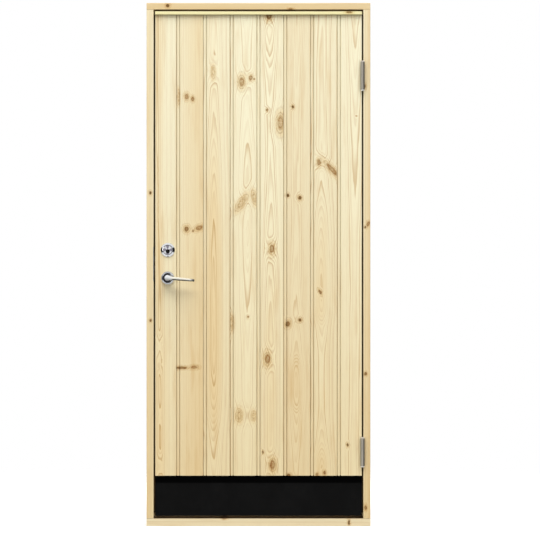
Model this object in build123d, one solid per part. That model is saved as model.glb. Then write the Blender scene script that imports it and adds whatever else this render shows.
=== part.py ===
from build123d import *
import os
from math import radians, tan

# Pine shed door: a boarded leaf that opens outwards, hung in a frame with planted stops.
# Millimetres. X runs to the right as seen from outside, Y runs inwards, Z runs up.
# The origin is the middle of the sill's underside.

# Frame
FRAME_WIDTH = 890.0
FRAME_HEIGHT = 2080.0
FRAME_DEPTH = 105.0
JAMB_LIP = 28.2
HEAD_LIP = 26.8
SILL_FRONT = 30.5
SILL_FALL = 3.0
STOP_RISE = 15.0
FRAME_ARRIS = 2.0
FRAME_SCREW_RADIUS = 7.0
FRAME_SCREW_SPACING = 640.0
FRAME_SCREW_INSET = 180.0

# Air left round the leaf
LATCH_GAP = 6.3
HINGE_GAP = 5.8
TOP_GAP = 7.4
SILL_GAP = 5.5
STOP_GAP = 10.0

# Weather seal pressed into a saw kerf in the stop
SEAL_INSET = 5.0
SEAL_WIDTH = 7.0
SEAL_PROUD = 5.0
SEAL_STEM = 3.0
SEAL_STEM_DEPTH = 6.0

# Leaf, from the outside in
BOARD_THICKNESS = 15.0
CORE_THICKNESS = 33.0
SHEET_THICKNESS = 6.0
EDGE_STEP = 3.0
STILE_WIDTH = 110.0
TOP_RAIL = 95.0
LOCK_RAIL = 140.0
BOTTOM_RAIL = 190.0

# Beaded boards, tongued and grooved
BOARD_PITCH = 106.5
BOARD_FOOT = 200.0
BOARD_ARRIS = 1.0
JOINT_GAP = 2.5
BEAD_WIDTH = 11.0
BEAD_DEPTH = 3.5
QUIRK_WIDTH = 2.5
QUIRK_DEPTH = 5.0
TONGUE_DEPTH = 5.2
TONGUE_THICKNESS = 4.6
TONGUE_LENGTH = 7.0
TONGUE_SLACK = 0.2
TONGUE_END_SLACK = 1.0
DRIP_RISE = 6.0

# Strip over the board ends
STRIP_HEIGHT = 12.5
STRIP_PROUD = 12.0
STRIP_ARRIS = 1.5

# Kick plate, folded under the leaf
PLATE_THICKNESS = 1.5
PLATE_RETURN = 14.0
PLATE_SLACK = 0.3

# Lift-off hinges
HINGE_LENGTH = 110.0
UPPER_HINGE_DROP = 290.0
LOWER_HINGE_RISE = 294.0
KNUCKLE_RADIUS = 8.25
KNUCKLE_STAND = 9.0
KNUCKLE_GAP = 0.3
HINGE_CAP = 5.0
HINGE_CAP_RADIUS = 7.2
HINGE_CAP_CHAMFER = 1.5
PIN_RADIUS = 4.5
PIN_LENGTH = 40.0
PIN_CLEARANCE = 0.05
FLAP_THICKNESS = 2.5
FLAP_DEPTH = 35.0
FLAP_CORNER = 5.0

# Lock, latch and strike
BACKSET = 50.0
LEVER_HEIGHT = 986.5
CYLINDER_RISE = 111.5
FOREND_LENGTH = 235.0
FOREND_WIDTH = 22.0
FOREND_THICKNESS = 3.0
FOREND_RISE = 56.0
CASE_LENGTH = 170.0
CASE_DEPTH = 78.0
CASE_THICKNESS = 15.0
CASE_SLACK = 0.5
FOLLOWER_RADIUS = 6.0
BOLT_HEIGHT = 19.0
BOLT_THICKNESS = 12.0
BOLT_SEAT = 24.0
BOLT_SHOW = 2.5
BOLT_SLACK = 0.2
LATCH_RISE = 38.5
DEAD_RISE = 75.5
LATCH_NOSE = 4.0
STRIKE_LENGTH = 135.0
STRIKE_DEPTH = 46.0
STRIKE_THICKNESS = 2.0
STRIKE_RISE = 55.5
STRIKE_CORNER = 5.0
STRIKE_WINDOW = 24.0
STRIKE_WINDOW_WIDTH = 17.0
POCKET_DEPTH = 15.0

# Lever handle on its roses
ROSE_RADIUS = 26.0
ROSE_HEIGHT = 9.0
ROSE_RIM = 2.5
ROSE_BEVEL = 0.8
ROSE_STEP = 1.0
ROSE_SLOPE = 11.0
HUB_RADIUS = 12.0
HUB_CLEARANCE = 0.1
HUB_SEAT = 2.0
HUB_BEVEL = 4.0
LEVER_REACH = 47.0
LEVER_LENGTH = 107.0
LEVER_DROOP = 5.0
GRIP_DEPTH = (16.0, 13.2)
GRIP_HEIGHT = (15.0, 10.0)
GRIP_CREST = 0.4
GRIP_END = 2.0
SPINDLE_SIDE = 8.0
SPINDLE_SEAT = 34.0
SPINDLE_HOLE_RADIUS = 9.0

# Lock cylinder outside, thumb turn inside
RING_RADIUS = 28.0
RING_EDGE = 3.0
RING_SLOPE = 30.0
RIM_RADIUS = 19.8
RIM_FLAT = 1.8
RIM_BEVEL = 0.7
DISH_SLOPE = 20.0
CYLINDER_RADIUS = 14.0
CYLINDER_SLACK = 0.3
PLUG_RADIUS = 6.3
PLUG_DROP = 5.6
PLUG_SUNK = 7.0
PLUG_LENGTH = 18.0
KEYWAY_WIDTH = 2.4
KEYWAY_HEIGHT = 9.0
KEYWAY_DEPTH = 14.0
TURN_SHAFT_RADIUS = 6.0
TURN_REACH = 30.0
TURN_WIDTH = 34.0
TURN_THICKNESS = 11.0
TURN_BEVEL = 2.0
TURN_GAP = 2.0

# Planes and edges that follow from the sizes above
FRONT = -FRAME_DEPTH / 2
BACK = FRAME_DEPTH / 2
CORE_FRONT = FRONT + BOARD_THICKNESS
CORE_BACK = CORE_FRONT + CORE_THICKNESS
CORE_MIDDLE = CORE_FRONT + CORE_THICKNESS / 2
LEAF_BACK = CORE_BACK + SHEET_THICKNESS
STOP = LEAF_BACK + STOP_GAP
JAMB_OUTER = FRAME_WIDTH / 2
LIP_FACE = JAMB_OUTER - JAMB_LIP
REVEAL = LIP_FACE - STOP_RISE
HEAD_UNDER = FRAME_HEIGHT - HEAD_LIP
HEAD_REVEAL = HEAD_UNDER - STOP_RISE
SILL_SEAT = SILL_FRONT + SILL_FALL
SILL_REVEAL = SILL_SEAT + STOP_RISE
LEAF_LEFT = -LIP_FACE + LATCH_GAP
LEAF_RIGHT = LIP_FACE - HINGE_GAP
LEAF_TOP = HEAD_UNDER - TOP_GAP
LEAF_FOOT = SILL_SEAT + SILL_GAP
CORE_LEFT = LEAF_LEFT + EDGE_STEP
CORE_FOOT = LEAF_FOOT + PLATE_THICKNESS
BOARD_TOP = LEAF_TOP - STRIP_HEIGHT
PIN_X = LEAF_RIGHT + HINGE_GAP / 2
PIN_Y = FRONT - KNUCKLE_STAND
LOCK_X = LEAF_LEFT + BACKSET
CYLINDER_Z = LEVER_HEIGHT + CYLINDER_RISE
UPPER_HINGE_Z = FRAME_HEIGHT - UPPER_HINGE_DROP
LOWER_HINGE_Z = LOWER_HINGE_RISE


def block(x, y, z):
    """A box between two values on each axis."""
    middle = Pos((x[0] + x[1]) / 2, (y[0] + y[1]) / 2, (z[0] + z[1]) / 2)
    return middle * Box(x[1] - x[0], y[1] - y[0], z[1] - z[0])


def rod(x, z, radius, y):
    """A round bar or drill lying along Y."""
    middle = Pos(x, (y[0] + y[1]) / 2, z)
    return middle * Rot(X=90) * Cylinder(radius, y[1] - y[0])


def outline(points, eased=(), size=0.0, ease=fillet):
    """A flat face through the points, its listed corners rounded or bevelled."""
    face = make_face(Polyline(*points, close=True))
    corners = []
    for vertex in face.vertices():
        for point in eased:
            if (Vector(*point) - Vector(vertex.X, vertex.Y)).length < 1e-6:
                corners.append(vertex)
    if corners:
        face = ease(corners, size)
    return face


def crossbar(face, x):
    """A (Y, Z) section drawn out along X."""
    return extrude(Plane.YZ.offset(x[0]) * face, x[1] - x[0], dir=(1, 0, 0))


def upright(face, z):
    """An (X, Y) section drawn out along Z."""
    return extrude(Pos(0, 0, z[0]) * face, z[1] - z[0], dir=(0, 0, 1))


def turned(points, bevelled=(), bevel=0.0):
    """A (radius, height) section turned about the -Y axis, height 0 on the leaf's face."""
    face = outline([(r, -h) for r, h in points], [(r, -h) for r, h in bevelled], bevel, chamfer)
    return revolve(face, Axis.Y)


# Head and sill run the full width; the jambs stand between them and carry planted stops.
ACROSS = (-JAMB_OUTER, JAMB_OUTER)
head_points = [
    (FRONT, FRAME_HEIGHT), (BACK, FRAME_HEIGHT), (BACK, HEAD_UNDER), (FRONT, HEAD_UNDER),
]
sill_points = [
    (FRONT, 0), (BACK, 0), (BACK, SILL_REVEAL),
    (STOP, SILL_REVEAL), (STOP, SILL_SEAT), (FRONT, SILL_FRONT),
]
head_stop_points = [
    (STOP, HEAD_UNDER), (BACK, HEAD_UNDER), (BACK, HEAD_REVEAL), (STOP, HEAD_REVEAL),
]
head_soft = [head_points[0], head_points[3]]
sill_soft = [sill_points[2], sill_points[3], sill_points[5]]
sill_blank = crossbar(outline(sill_points), ACROSS)
frame_head = crossbar(outline(head_points, head_soft, FRAME_ARRIS), ACROSS)
frame_sill = crossbar(outline(sill_points, sill_soft, FRAME_ARRIS), ACROSS)
head_stop_face = outline(head_stop_points, head_stop_points[2:], FRAME_ARRIS)
head_stop = crossbar(head_stop_face, (-LIP_FACE, LIP_FACE))

screw_drills = []
for low in (FRAME_SCREW_INSET, FRAME_HEIGHT - FRAME_SCREW_INSET - FRAME_SCREW_SPACING):
    for z in (low, low + FRAME_SCREW_SPACING):
        drill = Rot(Y=90) * Cylinder(FRAME_SCREW_RADIUS, 2 * FRAME_WIDTH)
        screw_drills.append(Pos(0, (STOP + BACK) / 2, z) * drill)


def jamb(side):
    """A plain jamb, side -1 at the latch and +1 at the hinges, scribed to the sill."""
    points = [
        (side * JAMB_OUTER, FRONT), (side * JAMB_OUTER, BACK),
        (side * LIP_FACE, BACK), (side * LIP_FACE, FRONT),
    ]
    face = outline(points, [points[0], points[3]], FRAME_ARRIS)
    return upright(face, (0, HEAD_UNDER)) - sill_blank - screw_drills


def side_stop(side):
    """The stop planted on a jamb, scribed to the sill and butting under the head's stop."""
    points = [
        (side * LIP_FACE, STOP), (side * LIP_FACE, BACK), (side * REVEAL, BACK), (side * REVEAL, STOP),
    ]
    face = outline(points, points[2:], FRAME_ARRIS)
    return upright(face, (0, HEAD_REVEAL)) - sill_blank - screw_drills


latch_jamb = jamb(-1)
hinge_jamb = jamb(1)
latch_stop = side_stop(-1)
hinge_stop = side_stop(1)


# The seal is one ring: a stem in the kerf and a round nose towards the leaf.
def seal_ring(half_width, y):
    """A rectangular ring round the opening, half_width either side of the seal's middle line."""
    x = REVEAL + SEAL_INSET
    low = SILL_REVEAL - SEAL_INSET
    high = HEAD_REVEAL + SEAL_INSET
    outer = block((-x - half_width, x + half_width), y, (low - half_width, high + half_width))
    inner = block((-x + half_width, x - half_width), y, (low + half_width, high - half_width))
    return outer - inner


kerf = seal_ring(SEAL_STEM / 2, (STOP, STOP + SEAL_STEM_DEPTH))
nose = seal_ring(SEAL_WIDTH / 2, (STOP - SEAL_PROUD, STOP))
nose = chamfer(nose.faces().sort_by(Axis.Y)[0].edges(), SEAL_WIDTH / 3)
weather_seal = nose + kerf
frame_sill -= kerf
head_stop -= kerf
latch_stop -= kerf
hinge_stop -= kerf

# Boards: the first has a plain left edge, the last a plain right edge.
JOINTS = round((LEAF_RIGHT - LEAF_LEFT) / BOARD_PITCH) - 1
FIRST_BEAD = (LEAF_LEFT + LEAF_RIGHT) / 2 - (JOINTS - 1) * BOARD_PITCH / 2
board_right = [FIRST_BEAD + i * BOARD_PITCH - BEAD_WIDTH / 2 - JOINT_GAP for i in range(JOINTS)]
board_left = [LEAF_LEFT] + [x + JOINT_GAP for x in board_right]
board_right = board_right + [LEAF_RIGHT]


def board(left, right, beaded, grooved):
    """One upright board, with a bead and tongue on its left edge and a groove on its right."""

    def at(x, depth):
        return (x, FRONT + depth)

    if beaded:
        face_start = left + BEAD_WIDTH + QUIRK_WIDTH
        first = [
            at(left, BOARD_THICKNESS),
            at(left, TONGUE_DEPTH + TONGUE_THICKNESS),
            at(left - TONGUE_LENGTH, TONGUE_DEPTH + TONGUE_THICKNESS),
            at(left - TONGUE_LENGTH, TONGUE_DEPTH),
            at(left, TONGUE_DEPTH),
            at(left, BEAD_DEPTH),
        ]
        second = [
            at(left + BEAD_WIDTH, BEAD_DEPTH),
            at(left + BEAD_WIDTH, QUIRK_DEPTH),
            at(face_start, QUIRK_DEPTH),
            at(face_start, 0),
            at(right - BOARD_ARRIS, 0),
        ]
    else:
        first = [at(left, BOARD_THICKNESS), at(left, BOARD_ARRIS)]
        second = [at(left + BOARD_ARRIS, 0), at(right - BOARD_ARRIS, 0)]
    second.append(at(right, BOARD_ARRIS))
    if grooved:
        groove_end = right - (TONGUE_LENGTH - JOINT_GAP + TONGUE_END_SLACK)
        second += [
            at(right, TONGUE_DEPTH - TONGUE_SLACK),
            at(groove_end, TONGUE_DEPTH - TONGUE_SLACK),
            at(groove_end, TONGUE_DEPTH + TONGUE_THICKNESS + TONGUE_SLACK),
            at(right, TONGUE_DEPTH + TONGUE_THICKNESS + TONGUE_SLACK),
        ]
    second += [at(right, BOARD_THICKNESS), first[0]]
    edges = [Polyline(*first), Polyline(*second)]
    if beaded:
        edges.append(ThreePointArc(first[-1], at(left + BEAD_WIDTH / 2, 0), second[0]))
    else:
        edges.append(Line(first[-1], second[0]))
    plank = upright(make_face(Curve() + edges), (BOARD_FOOT, BOARD_TOP))
    drip = [(FRONT, BOARD_FOOT), (CORE_FRONT, BOARD_FOOT), (CORE_FRONT, BOARD_FOOT + DRIP_RISE)]
    return plank - crossbar(outline(drip), (left - TONGUE_LENGTH - 1, right + 1))


boards = []
for i in range(JOINTS + 1):
    boards.append(board(board_left[i], board_right[i], i > 0, i < JOINTS))

# Core frame behind the boards, with a sheet on its inner side.
core_y = (CORE_FRONT, CORE_BACK)
latch_stile = block((CORE_LEFT, CORE_LEFT + STILE_WIDTH), core_y, (CORE_FOOT, LEAF_TOP))
hinge_stile = block((LEAF_RIGHT - STILE_WIDTH, LEAF_RIGHT), core_y, (CORE_FOOT, LEAF_TOP))
rail_x = (CORE_LEFT + STILE_WIDTH, LEAF_RIGHT - STILE_WIDTH)
lock_rail_z = (LEVER_HEIGHT + CYLINDER_RISE / 2 - LOCK_RAIL / 2,
               LEVER_HEIGHT + CYLINDER_RISE / 2 + LOCK_RAIL / 2)
top_rail = block(rail_x, core_y, (LEAF_TOP - TOP_RAIL, LEAF_TOP))
lock_rail = block(rail_x, core_y, lock_rail_z)
bottom_rail = block(rail_x, core_y, (CORE_FOOT, CORE_FOOT + BOTTOM_RAIL))
inner_sheet = block((CORE_LEFT, LEAF_RIGHT), (CORE_BACK, LEAF_BACK), (CORE_FOOT, LEAF_TOP))

# Strip over the board ends, its outer corners eased.
strip_points = [
    (FRONT - STRIP_PROUD, BOARD_TOP), (CORE_FRONT, BOARD_TOP),
    (CORE_FRONT, LEAF_TOP), (FRONT - STRIP_PROUD, LEAF_TOP),
]
strip_face = outline(strip_points, [strip_points[0], strip_points[3]], STRIP_ARRIS)
top_strip = crossbar(strip_face, (LEAF_LEFT, LEAF_RIGHT))

# Kick plate: its upper edge is tucked behind the sloping board ends.
plate_front = CORE_FRONT - PLATE_THICKNESS
plate_tuck = DRIP_RISE * (BOARD_THICKNESS - PLATE_THICKNESS) / BOARD_THICKNESS
kick_plate = block((LEAF_LEFT, LEAF_RIGHT), (plate_front, CORE_FRONT),
                   (LEAF_FOOT, BOARD_FOOT + plate_tuck - PLATE_SLACK))
kick_plate += block((CORE_LEFT, LEAF_RIGHT), (CORE_FRONT, CORE_FRONT + PLATE_RETURN),
                    (LEAF_FOOT, CORE_FOOT))


# Hinges: the lower half carries the pin, the upper half drops over it.
def flap(x, z):
    """The plate let into an edge, square at the face and rounded at its inner corners."""
    corners = [
        (FRONT, z - HINGE_LENGTH / 2), (FRONT + FLAP_DEPTH, z - HINGE_LENGTH / 2),
        (FRONT + FLAP_DEPTH, z + HINGE_LENGTH / 2), (FRONT, z + HINGE_LENGTH / 2),
    ]
    return crossbar(outline(corners, corners[1:3], FLAP_CORNER), x)


def knuckle(z, end):
    """Half of the barrel from the middle gap out to its rounded cap."""
    near = KNUCKLE_GAP / 2
    far = HINGE_LENGTH / 2
    section = [
        (0, near), (KNUCKLE_RADIUS, near), (KNUCKLE_RADIUS, far), (HINGE_CAP_RADIUS, far),
        (HINGE_CAP_RADIUS, far + HINGE_CAP - HINGE_CAP_CHAMFER),
        (HINGE_CAP_RADIUS - HINGE_CAP_CHAMFER, far + HINGE_CAP), (0, far + HINGE_CAP),
    ]
    face = Plane.XZ * make_face(Polyline(*[(r, end * h) for r, h in section], close=True))
    return Pos(PIN_X, PIN_Y, z) * revolve(face, Axis.Z)


def web(x, z, end):
    """The part of the flap that runs forward into its own half of the barrel."""
    span = sorted((z + end * KNUCKLE_GAP / 2, z + end * HINGE_LENGTH / 2))
    return block(x, (PIN_Y, FRONT), span)


frame_flap_x = (LIP_FACE, LIP_FACE + FLAP_THICKNESS)
leaf_flap_x = (LEAF_RIGHT - FLAP_THICKNESS, LEAF_RIGHT)
frame_halves = []
leaf_halves = []
for z in (UPPER_HINGE_Z, LOWER_HINGE_Z):
    frame_plate = flap(frame_flap_x, z)
    leaf_plate = flap(leaf_flap_x, z)
    hinge_jamb -= frame_plate
    hinge_stile -= leaf_plate
    boards[-1] -= leaf_plate
    pin = Pos(PIN_X, PIN_Y, z + (PIN_LENGTH - KNUCKLE_GAP) / 2) * Cylinder(PIN_RADIUS, PIN_LENGTH)
    bore_end = PIN_LENGTH + 2
    bore = Pos(PIN_X, PIN_Y, z + bore_end / 2) * Cylinder(PIN_RADIUS + PIN_CLEARANCE, bore_end)
    frame_halves.append(frame_plate + web(frame_flap_x, z, -1) + knuckle(z, -1) + pin)
    leaf_halves.append(leaf_plate + web(leaf_flap_x, z, 1) + knuckle(z, 1) - bore)

# Lock case with its forend, let into the latch stile.
LATCH_Z = LEVER_HEIGHT + LATCH_RISE
DEAD_Z = LEVER_HEIGHT + DEAD_RISE
FOREND_Z = LEVER_HEIGHT + FOREND_RISE
CASE_X = CORE_LEFT + FOREND_THICKNESS
case_half = CASE_THICKNESS / 2
case_z = (FOREND_Z - CASE_LENGTH / 2, FOREND_Z + CASE_LENGTH / 2)
case_y = (CORE_MIDDLE - case_half, CORE_MIDDLE + case_half)
forend_face = Pos(CORE_MIDDLE, FOREND_Z) * Rot(Z=90) * SlotOverall(FOREND_LENGTH, FOREND_WIDTH)
forend = crossbar(forend_face, (CORE_LEFT, CASE_X))
lock_case = forend + block((CASE_X, CASE_X + CASE_DEPTH), case_y, case_z)
mortise = block((CASE_X, CASE_X + CASE_DEPTH + CASE_SLACK),
                (case_y[0] - CASE_SLACK, case_y[1] + CASE_SLACK),
                (case_z[0] - CASE_SLACK, case_z[1] + CASE_SLACK))
latch_stile = latch_stile - forend - mortise


def bolt(z, slack=0.0):
    """A drawn-in bolt, its nose just short of the strike."""
    half = BOLT_THICKNESS / 2 + slack
    return block((LEAF_LEFT - BOLT_SHOW - slack, CASE_X + BOLT_SEAT + slack),
                 (CORE_MIDDLE - half, CORE_MIDDLE + half),
                 (z - BOLT_HEIGHT / 2 - slack, z + BOLT_HEIGHT / 2 + slack))


latch_bolt = bolt(LATCH_Z)
dead_bolt = bolt(DEAD_Z)
nose_edge = latch_bolt.edges().filter_by(Axis.Z).sort_by(Axis.X)[:2].sort_by(Axis.Y)[-1]
latch_bolt = chamfer(nose_edge, LATCH_NOSE)
lock_case = lock_case - bolt(LATCH_Z, BOLT_SLACK) - bolt(DEAD_Z, BOLT_SLACK)
lock_case -= rod(LOCK_X, LEVER_HEIGHT, FOLLOWER_RADIUS, case_y)

# Strike plate let into the latch jamb, with a pocket behind each window.
strike_z = LEVER_HEIGHT + STRIKE_RISE
strike_corners = [
    (FRONT, strike_z - STRIKE_LENGTH / 2), (FRONT + STRIKE_DEPTH, strike_z - STRIKE_LENGTH / 2),
    (FRONT + STRIKE_DEPTH, strike_z + STRIKE_LENGTH / 2), (FRONT, strike_z + STRIKE_LENGTH / 2),
]
strike_x = (-LIP_FACE - STRIKE_THICKNESS, -LIP_FACE)
strike_plate = crossbar(outline(strike_corners, strike_corners[1:3], STRIKE_CORNER), strike_x)
latch_jamb -= strike_plate
for z in (LATCH_Z, DEAD_Z):
    window = block((-LIP_FACE - POCKET_DEPTH, -LIP_FACE),
                   (CORE_MIDDLE - STRIKE_WINDOW_WIDTH / 2, CORE_MIDDLE + STRIKE_WINDOW_WIDTH / 2),
                   (z - STRIKE_WINDOW / 2, z + STRIKE_WINDOW / 2))
    strike_plate -= window
    latch_jamb -= window

# Holes through the leaf for the spindle and the cylinder.
through = (FRONT, LEAF_BACK)
spindle_hole = rod(LOCK_X, LEVER_HEIGHT, SPINDLE_HOLE_RADIUS, through)
cylinder_hole = rod(LOCK_X, CYLINDER_Z, CYLINDER_RADIUS + CYLINDER_SLACK, (FRONT, case_y[0]))
turn_hole = rod(LOCK_X, CYLINDER_Z, TURN_SHAFT_RADIUS + CYLINDER_SLACK, (case_y[1], LEAF_BACK))
boards[0] = boards[0] - spindle_hole - cylinder_hole
latch_stile = latch_stile - spindle_hole - cylinder_hole - turn_hole
inner_sheet = inner_sheet - spindle_hole - turn_hole

# Rose: a narrow bevelled rim round a shallow dish, bored for the lever's hub.
rose_bore = HUB_RADIUS + HUB_CLEARANCE
rose_inner = ROSE_RADIUS - ROSE_RIM
rose_edge = ROSE_HEIGHT - ROSE_STEP
rose_floor = rose_edge - (rose_inner - rose_bore) * tan(radians(ROSE_SLOPE))
rose_corners = [(ROSE_RADIUS, ROSE_HEIGHT), (rose_inner, ROSE_HEIGHT)]
rose = turned([
    (rose_bore, 0), (ROSE_RADIUS, 0), *rose_corners, (rose_inner, rose_edge), (rose_bore, rose_floor),
], rose_corners, ROSE_BEVEL)
outside_rose = Pos(LOCK_X, FRONT, LEVER_HEIGHT) * rose
inside_rose = Pos(LOCK_X, LEAF_BACK, LEVER_HEIGHT) * mirror(rose, about=Plane.XZ)

# Lever: a turned hub, and a drooping grip cut to its side view and its plan, flat below and round above.
hub_top = LEVER_REACH + GRIP_DEPTH[0] / 2
hub = Pos(0, -(HUB_SEAT + hub_top) / 2, 0) * Rot(X=90) * Cylinder(HUB_RADIUS, hub_top - HUB_SEAT)
hub = chamfer(hub.faces().sort_by(Axis.Y)[0].edges(), HUB_BEVEL)
grip_drop = LEVER_LENGTH * tan(radians(LEVER_DROOP))
side_view = [
    (0, -GRIP_HEIGHT[0] / 2), (LEVER_LENGTH, -grip_drop - GRIP_HEIGHT[1] / 2),
    (LEVER_LENGTH, -grip_drop + GRIP_HEIGHT[1] / 2), (0, GRIP_HEIGHT[0] / 2),
]
plan_view = [
    (0, -LEVER_REACH - GRIP_DEPTH[0] / 2), (LEVER_LENGTH, -LEVER_REACH - GRIP_DEPTH[1] / 2),
    (LEVER_LENGTH, -LEVER_REACH + GRIP_DEPTH[1] / 2), (0, -LEVER_REACH + GRIP_DEPTH[0] / 2),
]
grip = extrude(Plane.XZ * outline(side_view), 2 * LEVER_REACH, dir=(0, -1, 0))
grip &= upright(outline(plan_view), (-LEVER_LENGTH, LEVER_LENGTH))
long_edges = grip.faces().sort_by(Axis.Z)[-1].edges().sort_by(SortBy.LENGTH)[-2:]
grip = fillet(long_edges, (GRIP_DEPTH[1] - GRIP_CREST) / 2)
grip = chamfer(grip.faces().sort_by(Axis.X)[-1].edges(), GRIP_END)
lever = hub + grip
lever -= block((-SPINDLE_SIDE / 2, SPINDLE_SIDE / 2), (-SPINDLE_SEAT, 0),
               (-SPINDLE_SIDE / 2, SPINDLE_SIDE / 2))
outside_lever = Pos(LOCK_X, FRONT, LEVER_HEIGHT) * lever
inside_lever = Pos(LOCK_X, LEAF_BACK, LEVER_HEIGHT) * mirror(lever, about=Plane.XZ)
spindle = block((LOCK_X - SPINDLE_SIDE / 2, LOCK_X + SPINDLE_SIDE / 2),
                (FRONT - SPINDLE_SEAT, LEAF_BACK + SPINDLE_SEAT),
                (LEVER_HEIGHT - SPINDLE_SIDE / 2, LEVER_HEIGHT + SPINDLE_SIDE / 2))

# Cylinder ring: a broad sloping collar; its shallow dish runs on over the cylinder's face.
ring_bore = CYLINDER_RADIUS + CYLINDER_SLACK
ring_top = RING_EDGE + (RING_RADIUS - RIM_RADIUS) * tan(radians(RING_SLOPE))
dish_radius = RIM_RADIUS - RIM_FLAT


def dish_height(radius):
    """Height of the dish above the leaf's face at a radius."""
    return ring_top - (dish_radius - radius) * tan(radians(DISH_SLOPE))


ring_corners = [(RING_RADIUS, RING_EDGE), (RIM_RADIUS, ring_top), (dish_radius, ring_top)]
cylinder_ring = turned([
    (ring_bore, 0), (RING_RADIUS, 0), *ring_corners, (ring_bore, dish_height(ring_bore)),
], ring_corners, RIM_BEVEL)
cylinder_ring = Pos(LOCK_X, FRONT, CYLINDER_Z) * cylinder_ring
lock_cylinder = turned([
    (0, FRONT - case_y[0]), (CYLINDER_RADIUS, FRONT - case_y[0]),
    (CYLINDER_RADIUS, dish_height(CYLINDER_RADIUS)), (0, dish_height(0)),
])
lock_cylinder = Pos(LOCK_X, FRONT, CYLINDER_Z) * lock_cylinder
plug_z = CYLINDER_Z - PLUG_DROP
plug_front = FRONT - dish_height(CYLINDER_RADIUS) + PLUG_SUNK
plug_y = (plug_front, plug_front + PLUG_LENGTH)
lock_cylinder -= rod(LOCK_X, plug_z, PLUG_RADIUS, (FRONT - ring_top, plug_y[1]))
key_plug = rod(LOCK_X, plug_z, PLUG_RADIUS, plug_y)
key_plug -= block((LOCK_X - KEYWAY_WIDTH / 2, LOCK_X + KEYWAY_WIDTH / 2),
                  (plug_y[0], plug_y[0] + KEYWAY_DEPTH),
                  (plug_z - KEYWAY_HEIGHT / 2, plug_z + KEYWAY_HEIGHT / 2))

# Thumb turn inside, on a plain rose.
turn_bore = TURN_SHAFT_RADIUS + CYLINDER_SLACK
turn_rim = (ROSE_RADIUS, ROSE_HEIGHT)
turn_rose = turned([
    (turn_bore, 0), (ROSE_RADIUS, 0), turn_rim, (turn_bore, ROSE_HEIGHT),
], [turn_rim], TURN_BEVEL)
turn_rose = Pos(LOCK_X, LEAF_BACK, CYLINDER_Z) * mirror(turn_rose, about=Plane.XZ)
wing = extrude(Rot(X=90) * SlotOverall(TURN_WIDTH, TURN_THICKNESS), TURN_REACH - ROSE_HEIGHT - TURN_GAP,
               dir=(0, 1, 0))
wing = chamfer(wing.faces().sort_by(Axis.Y)[-1].edges(), TURN_BEVEL)
thumb_turn = Pos(LOCK_X, LEAF_BACK + ROSE_HEIGHT + TURN_GAP, CYLINDER_Z) * Rot(Y=90) * wing
thumb_turn += rod(LOCK_X, CYLINDER_Z, TURN_SHAFT_RADIUS,
                  (case_y[1], LEAF_BACK + ROSE_HEIGHT + TURN_REACH / 3))

# One file for each piece
pieces = {
    "frame_head": frame_head, "frame_sill": frame_sill,
    "latch_jamb": latch_jamb, "hinge_jamb": hinge_jamb,
    "latch_stop": latch_stop, "hinge_stop": hinge_stop, "head_stop": head_stop,
    "weather_seal": weather_seal, "strike_plate": strike_plate,
    "upper_hinge_frame_half": frame_halves[0], "lower_hinge_frame_half": frame_halves[1],
    "upper_hinge_leaf_half": leaf_halves[0], "lower_hinge_leaf_half": leaf_halves[1],
    "latch_stile": latch_stile, "hinge_stile": hinge_stile,
    "top_rail": top_rail, "lock_rail": lock_rail, "bottom_rail": bottom_rail,
    "inner_sheet": inner_sheet, "top_strip": top_strip, "kick_plate": kick_plate,
    "lock_case": lock_case, "latch_bolt": latch_bolt, "dead_bolt": dead_bolt,
    "outside_rose": outside_rose, "inside_rose": inside_rose,
    "cylinder_ring": cylinder_ring, "lock_cylinder": lock_cylinder, "key_plug": key_plug,
    "turn_rose": turn_rose, "thumb_turn": thumb_turn,
    "outside_lever": outside_lever, "inside_lever": inside_lever, "spindle": spindle,
}
for i, plank in enumerate(boards):
    pieces[f"board_{i + 1}"] = plank

os.makedirs("parts", exist_ok=True)
for name, shape in pieces.items():
    export_step(shape, f"parts/{name}.step")
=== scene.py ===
# %% [markdown]
# # A boarded pine shed door
# The door comes from its CAD solids, already in place and in metres. This lesson dresses those solids:
# it gives every piece of wood its own grain and knots, coats the metal, adds the screws, and lights the
# whole thing softly in front of white. Loading the solids first means that nothing has to be fitted by
# eye afterwards.

# %% Load the solids
import math
import bpy
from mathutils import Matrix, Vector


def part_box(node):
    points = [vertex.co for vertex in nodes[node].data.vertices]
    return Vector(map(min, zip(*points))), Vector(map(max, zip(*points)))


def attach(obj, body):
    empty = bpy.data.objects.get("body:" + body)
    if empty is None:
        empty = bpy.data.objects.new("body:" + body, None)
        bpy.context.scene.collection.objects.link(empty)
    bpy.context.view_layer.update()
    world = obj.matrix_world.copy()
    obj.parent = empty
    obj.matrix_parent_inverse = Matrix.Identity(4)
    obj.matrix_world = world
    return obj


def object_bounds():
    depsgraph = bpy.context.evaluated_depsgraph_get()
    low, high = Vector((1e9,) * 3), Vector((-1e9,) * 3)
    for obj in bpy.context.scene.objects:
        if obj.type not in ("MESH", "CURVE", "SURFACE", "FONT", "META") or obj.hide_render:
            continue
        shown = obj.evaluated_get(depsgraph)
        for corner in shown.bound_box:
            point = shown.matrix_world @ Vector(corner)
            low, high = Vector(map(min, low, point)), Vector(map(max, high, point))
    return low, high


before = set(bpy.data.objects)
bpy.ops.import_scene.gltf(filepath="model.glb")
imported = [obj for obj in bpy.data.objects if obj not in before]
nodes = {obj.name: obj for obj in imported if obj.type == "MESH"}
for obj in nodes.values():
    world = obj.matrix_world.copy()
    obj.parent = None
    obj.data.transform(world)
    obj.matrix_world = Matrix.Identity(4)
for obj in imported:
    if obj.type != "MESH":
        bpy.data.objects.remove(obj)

cad_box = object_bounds()
print("solids:", len(nodes), "box:", [list(corner) for corner in cad_box])

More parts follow.
